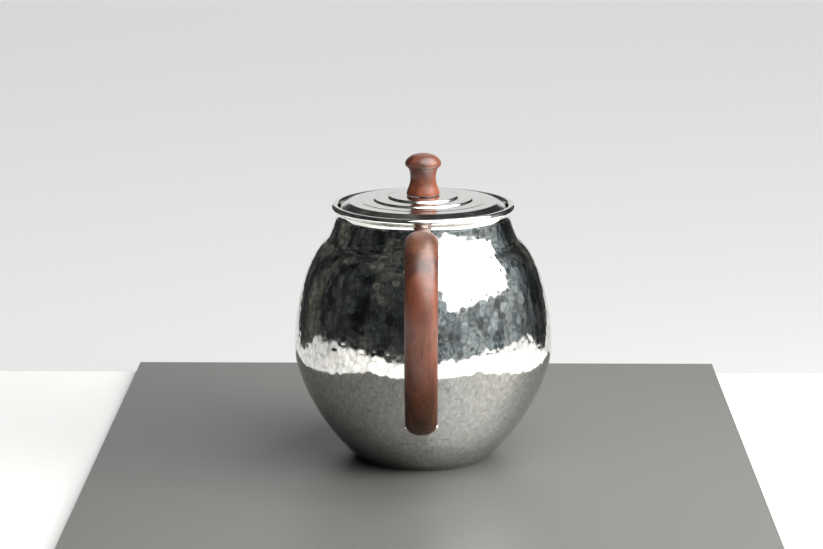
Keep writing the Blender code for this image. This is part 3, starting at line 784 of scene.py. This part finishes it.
def make_stage():
    """A pale floor that ends a little in front, a grey mat on it and a pale backdrop far behind.

    The floor and backdrop behind the mat glow a little, so that they read as one pale ground.
    """
    pale = plain("pale_floor", (0.10, 0.10, 0.10), specular=0.0, glow=0.60)
    slab("floor_front", (-0.62, -0.43, FLOOR_FOOT), (0.62, -0.12, FLOOR_TOP),
         plain("white_floor", (0.66, 0.66, 0.65)))
    slab("floor_middle", (-0.62, -0.12, FLOOR_FOOT), (0.62, MAT_BACK, FLOOR_TOP),
         plain("light_floor", (0.47, 0.47, 0.47)))
    slab("floor_back", (-0.42, MAT_BACK, FLOOR_FOOT), (0.42, 1.5, FLOOR_TOP), pale, 0.46)
    slab("backdrop", (-0.42, 1.5, FLOOR_FOOT), (0.42, 1.52, 1.6), pale)
    slab("mat", (-0.117, -0.128, FLOOR_TOP), (0.117, MAT_BACK, 0.0),
         plain("grey_mat", (0.070, 0.070, 0.068), 0.46, 1.0))


def area(name, place, target, width, height, power, colour):
    """A rectangular light that the camera doesn't see."""
    lamp = bpy.data.lights.new(name, "AREA")
    lamp.shape, lamp.size, lamp.size_y = "RECTANGLE", width, height
    lamp.energy, lamp.color = power, colour
    made = bpy.data.objects.new(name, lamp)
    bpy.context.scene.collection.objects.link(made)
    made.location = place
    made.rotation_euler = (Vector(target) - Vector(place)).to_track_quat("-Z", "Y").to_euler()
    made.visible_camera = False
    return made


def around_pot(azimuth, elevation, distance):
    """A place seen from the pot's middle: azimuth from -Y towards +X, elevation above level."""
    a, e = math.radians(azimuth), math.radians(elevation)
    return (distance * math.sin(a) * math.cos(e), -distance * math.cos(a) * math.cos(e),
            POT_MIDDLE[2] + distance * math.sin(e))


def make_light():
    """A large window, two soft helpers that the silver doesn't mirror, and a dim mottled room."""
    area("window", around_pot(*WINDOW_WAY, WINDOW_DISTANCE), POT_MIDDLE, 1.9, 1.75, 62,
         (1.0, 0.985, 0.96))
    strip = area("front_strip", (0.0, -0.32, 0.9), (0.0, -0.30, 0.0), 1.2, 0.2, 5, (1.0, 1.0, 1.0))
    side = area("side_light", (0.34, -0.12, 0.20), (0.06, -0.10, 0.0), 0.22, 0.22, 3.2,
                (1.0, 0.98, 0.88))
    for lamp in (strip, side):
        lamp.visible_glossy = False
    world = bpy.data.worlds.new("room")
    bpy.context.scene.world = world
    world.use_nodes = True
    nodes, links = world.node_tree.nodes, world.node_tree.links

    def node(kind, **values):
        made = nodes.new(kind)
        for name, value in values.items():
            if name in made.inputs:
                made.inputs[name].default_value = value
            else:
                setattr(made, name, value)
        return made

    def ramp(value, *stops):
        made = node("ShaderNodeValToRGB")
        elements = made.color_ramp.elements
        while len(elements) < len(stops):
            elements.new(0.5)
        for element, (place, colour) in zip(elements, stops):
            element.position, element.color = place, (*colour, 1.0)
        links.new(value, made.inputs["Fac"])
        return made.outputs["Color"]

    def blend(kind, share, first, second):
        made = node("ShaderNodeMix", data_type="RGBA", blend_type=kind)
        made.inputs[0].default_value = share
        links.new(first, made.inputs[6])
        links.new(second, made.inputs[7])
        return made.outputs[2]

    way = node("ShaderNodeTexCoord").outputs["Generated"]
    coarse, fine = (node("ShaderNodeTexNoise", Scale=scale, Detail=detail) for scale, detail in
                    ((3.2, 3.0), (11.0, 5.0)))
    for noise in (coarse, fine):
        links.new(way, noise.inputs["Vector"])
    room = ramp(coarse.outputs["Fac"], (0.36, (0.010, 0.011, 0.012)), (0.50, (0.050, 0.056, 0.058)),
                (0.66, (0.155, 0.150, 0.130)))
    room = blend("MULTIPLY", 0.75, room, ramp(fine.outputs["Fac"], (0.38, (0.12, 0.12, 0.12)),
                                              (0.60, (1.0, 1.0, 1.0))))
    toward = node("ShaderNodeVectorMath", operation="DOT_PRODUCT")
    links.new(way, toward.inputs[0])
    toward.inputs[1].default_value = Vector(around_pot(*WINDOW_GLOW_WAY, 1.0)).normalized()
    halo = ramp(toward.outputs["Value"], (0.35, (0.0, 0.0, 0.0)), (0.94, (0.56, 0.66, 0.70)))
    halo = blend("MULTIPLY", 0.85, halo, ramp(fine.outputs["Fac"], (0.40, (0.0, 0.0, 0.0)),
                                              (0.62, (1.0, 1.0, 1.0))))
    room = blend("ADD", 1.0, room, halo)
    links.new(room, nodes["Background"].inputs["Color"])
    seen = node("ShaderNodeBackground", Color=(0.74, 0.74, 0.74, 1.0))
    path, mix = node("ShaderNodeLightPath"), node("ShaderNodeMixShader")
    links.new(path.outputs["Is Camera Ray"], mix.inputs[0])
    links.new(nodes["Background"].outputs[0], mix.inputs[1])
    links.new(seen.outputs[0], mix.inputs[2])
    links.new(mix.outputs[0], nodes["World Output"].inputs["Surface"])


def make_camera():
    data = bpy.data.cameras.new("camera")
    data.lens, data.sensor_width = CAMERA_LENS, 36.0
    data.clip_start, data.clip_end = 0.01, 20.0
    camera = bpy.data.objects.new("camera", data)
    camera.location, camera.rotation_euler = CAMERA_PLACE, CAMERA_TURN
    bpy.context.scene.collection.objects.link(camera)
    bpy.context.scene.camera = camera


make_camera()
make_stage()
make_light()
make_hammered_body()
make_neck()
make_spout()
make_lid()
make_knob()
make_handle()
make_handle_joint("upper", UPPER_LUG, HANDLE_WIDTH * MM, UPPER_PEG, UPPER_PIN_SETBACK)
make_handle_joint("lower", LOWER_LUG, (HANDLE_WIDTH - HANDLE_WIDTH_LOSS) * MM, LOWER_PEG,
                  LOWER_PIN_SETBACK)
finish_carried_nodes()
bpy.context.scene.view_settings.view_transform = "Standard"

bpy.context.view_layer.update()
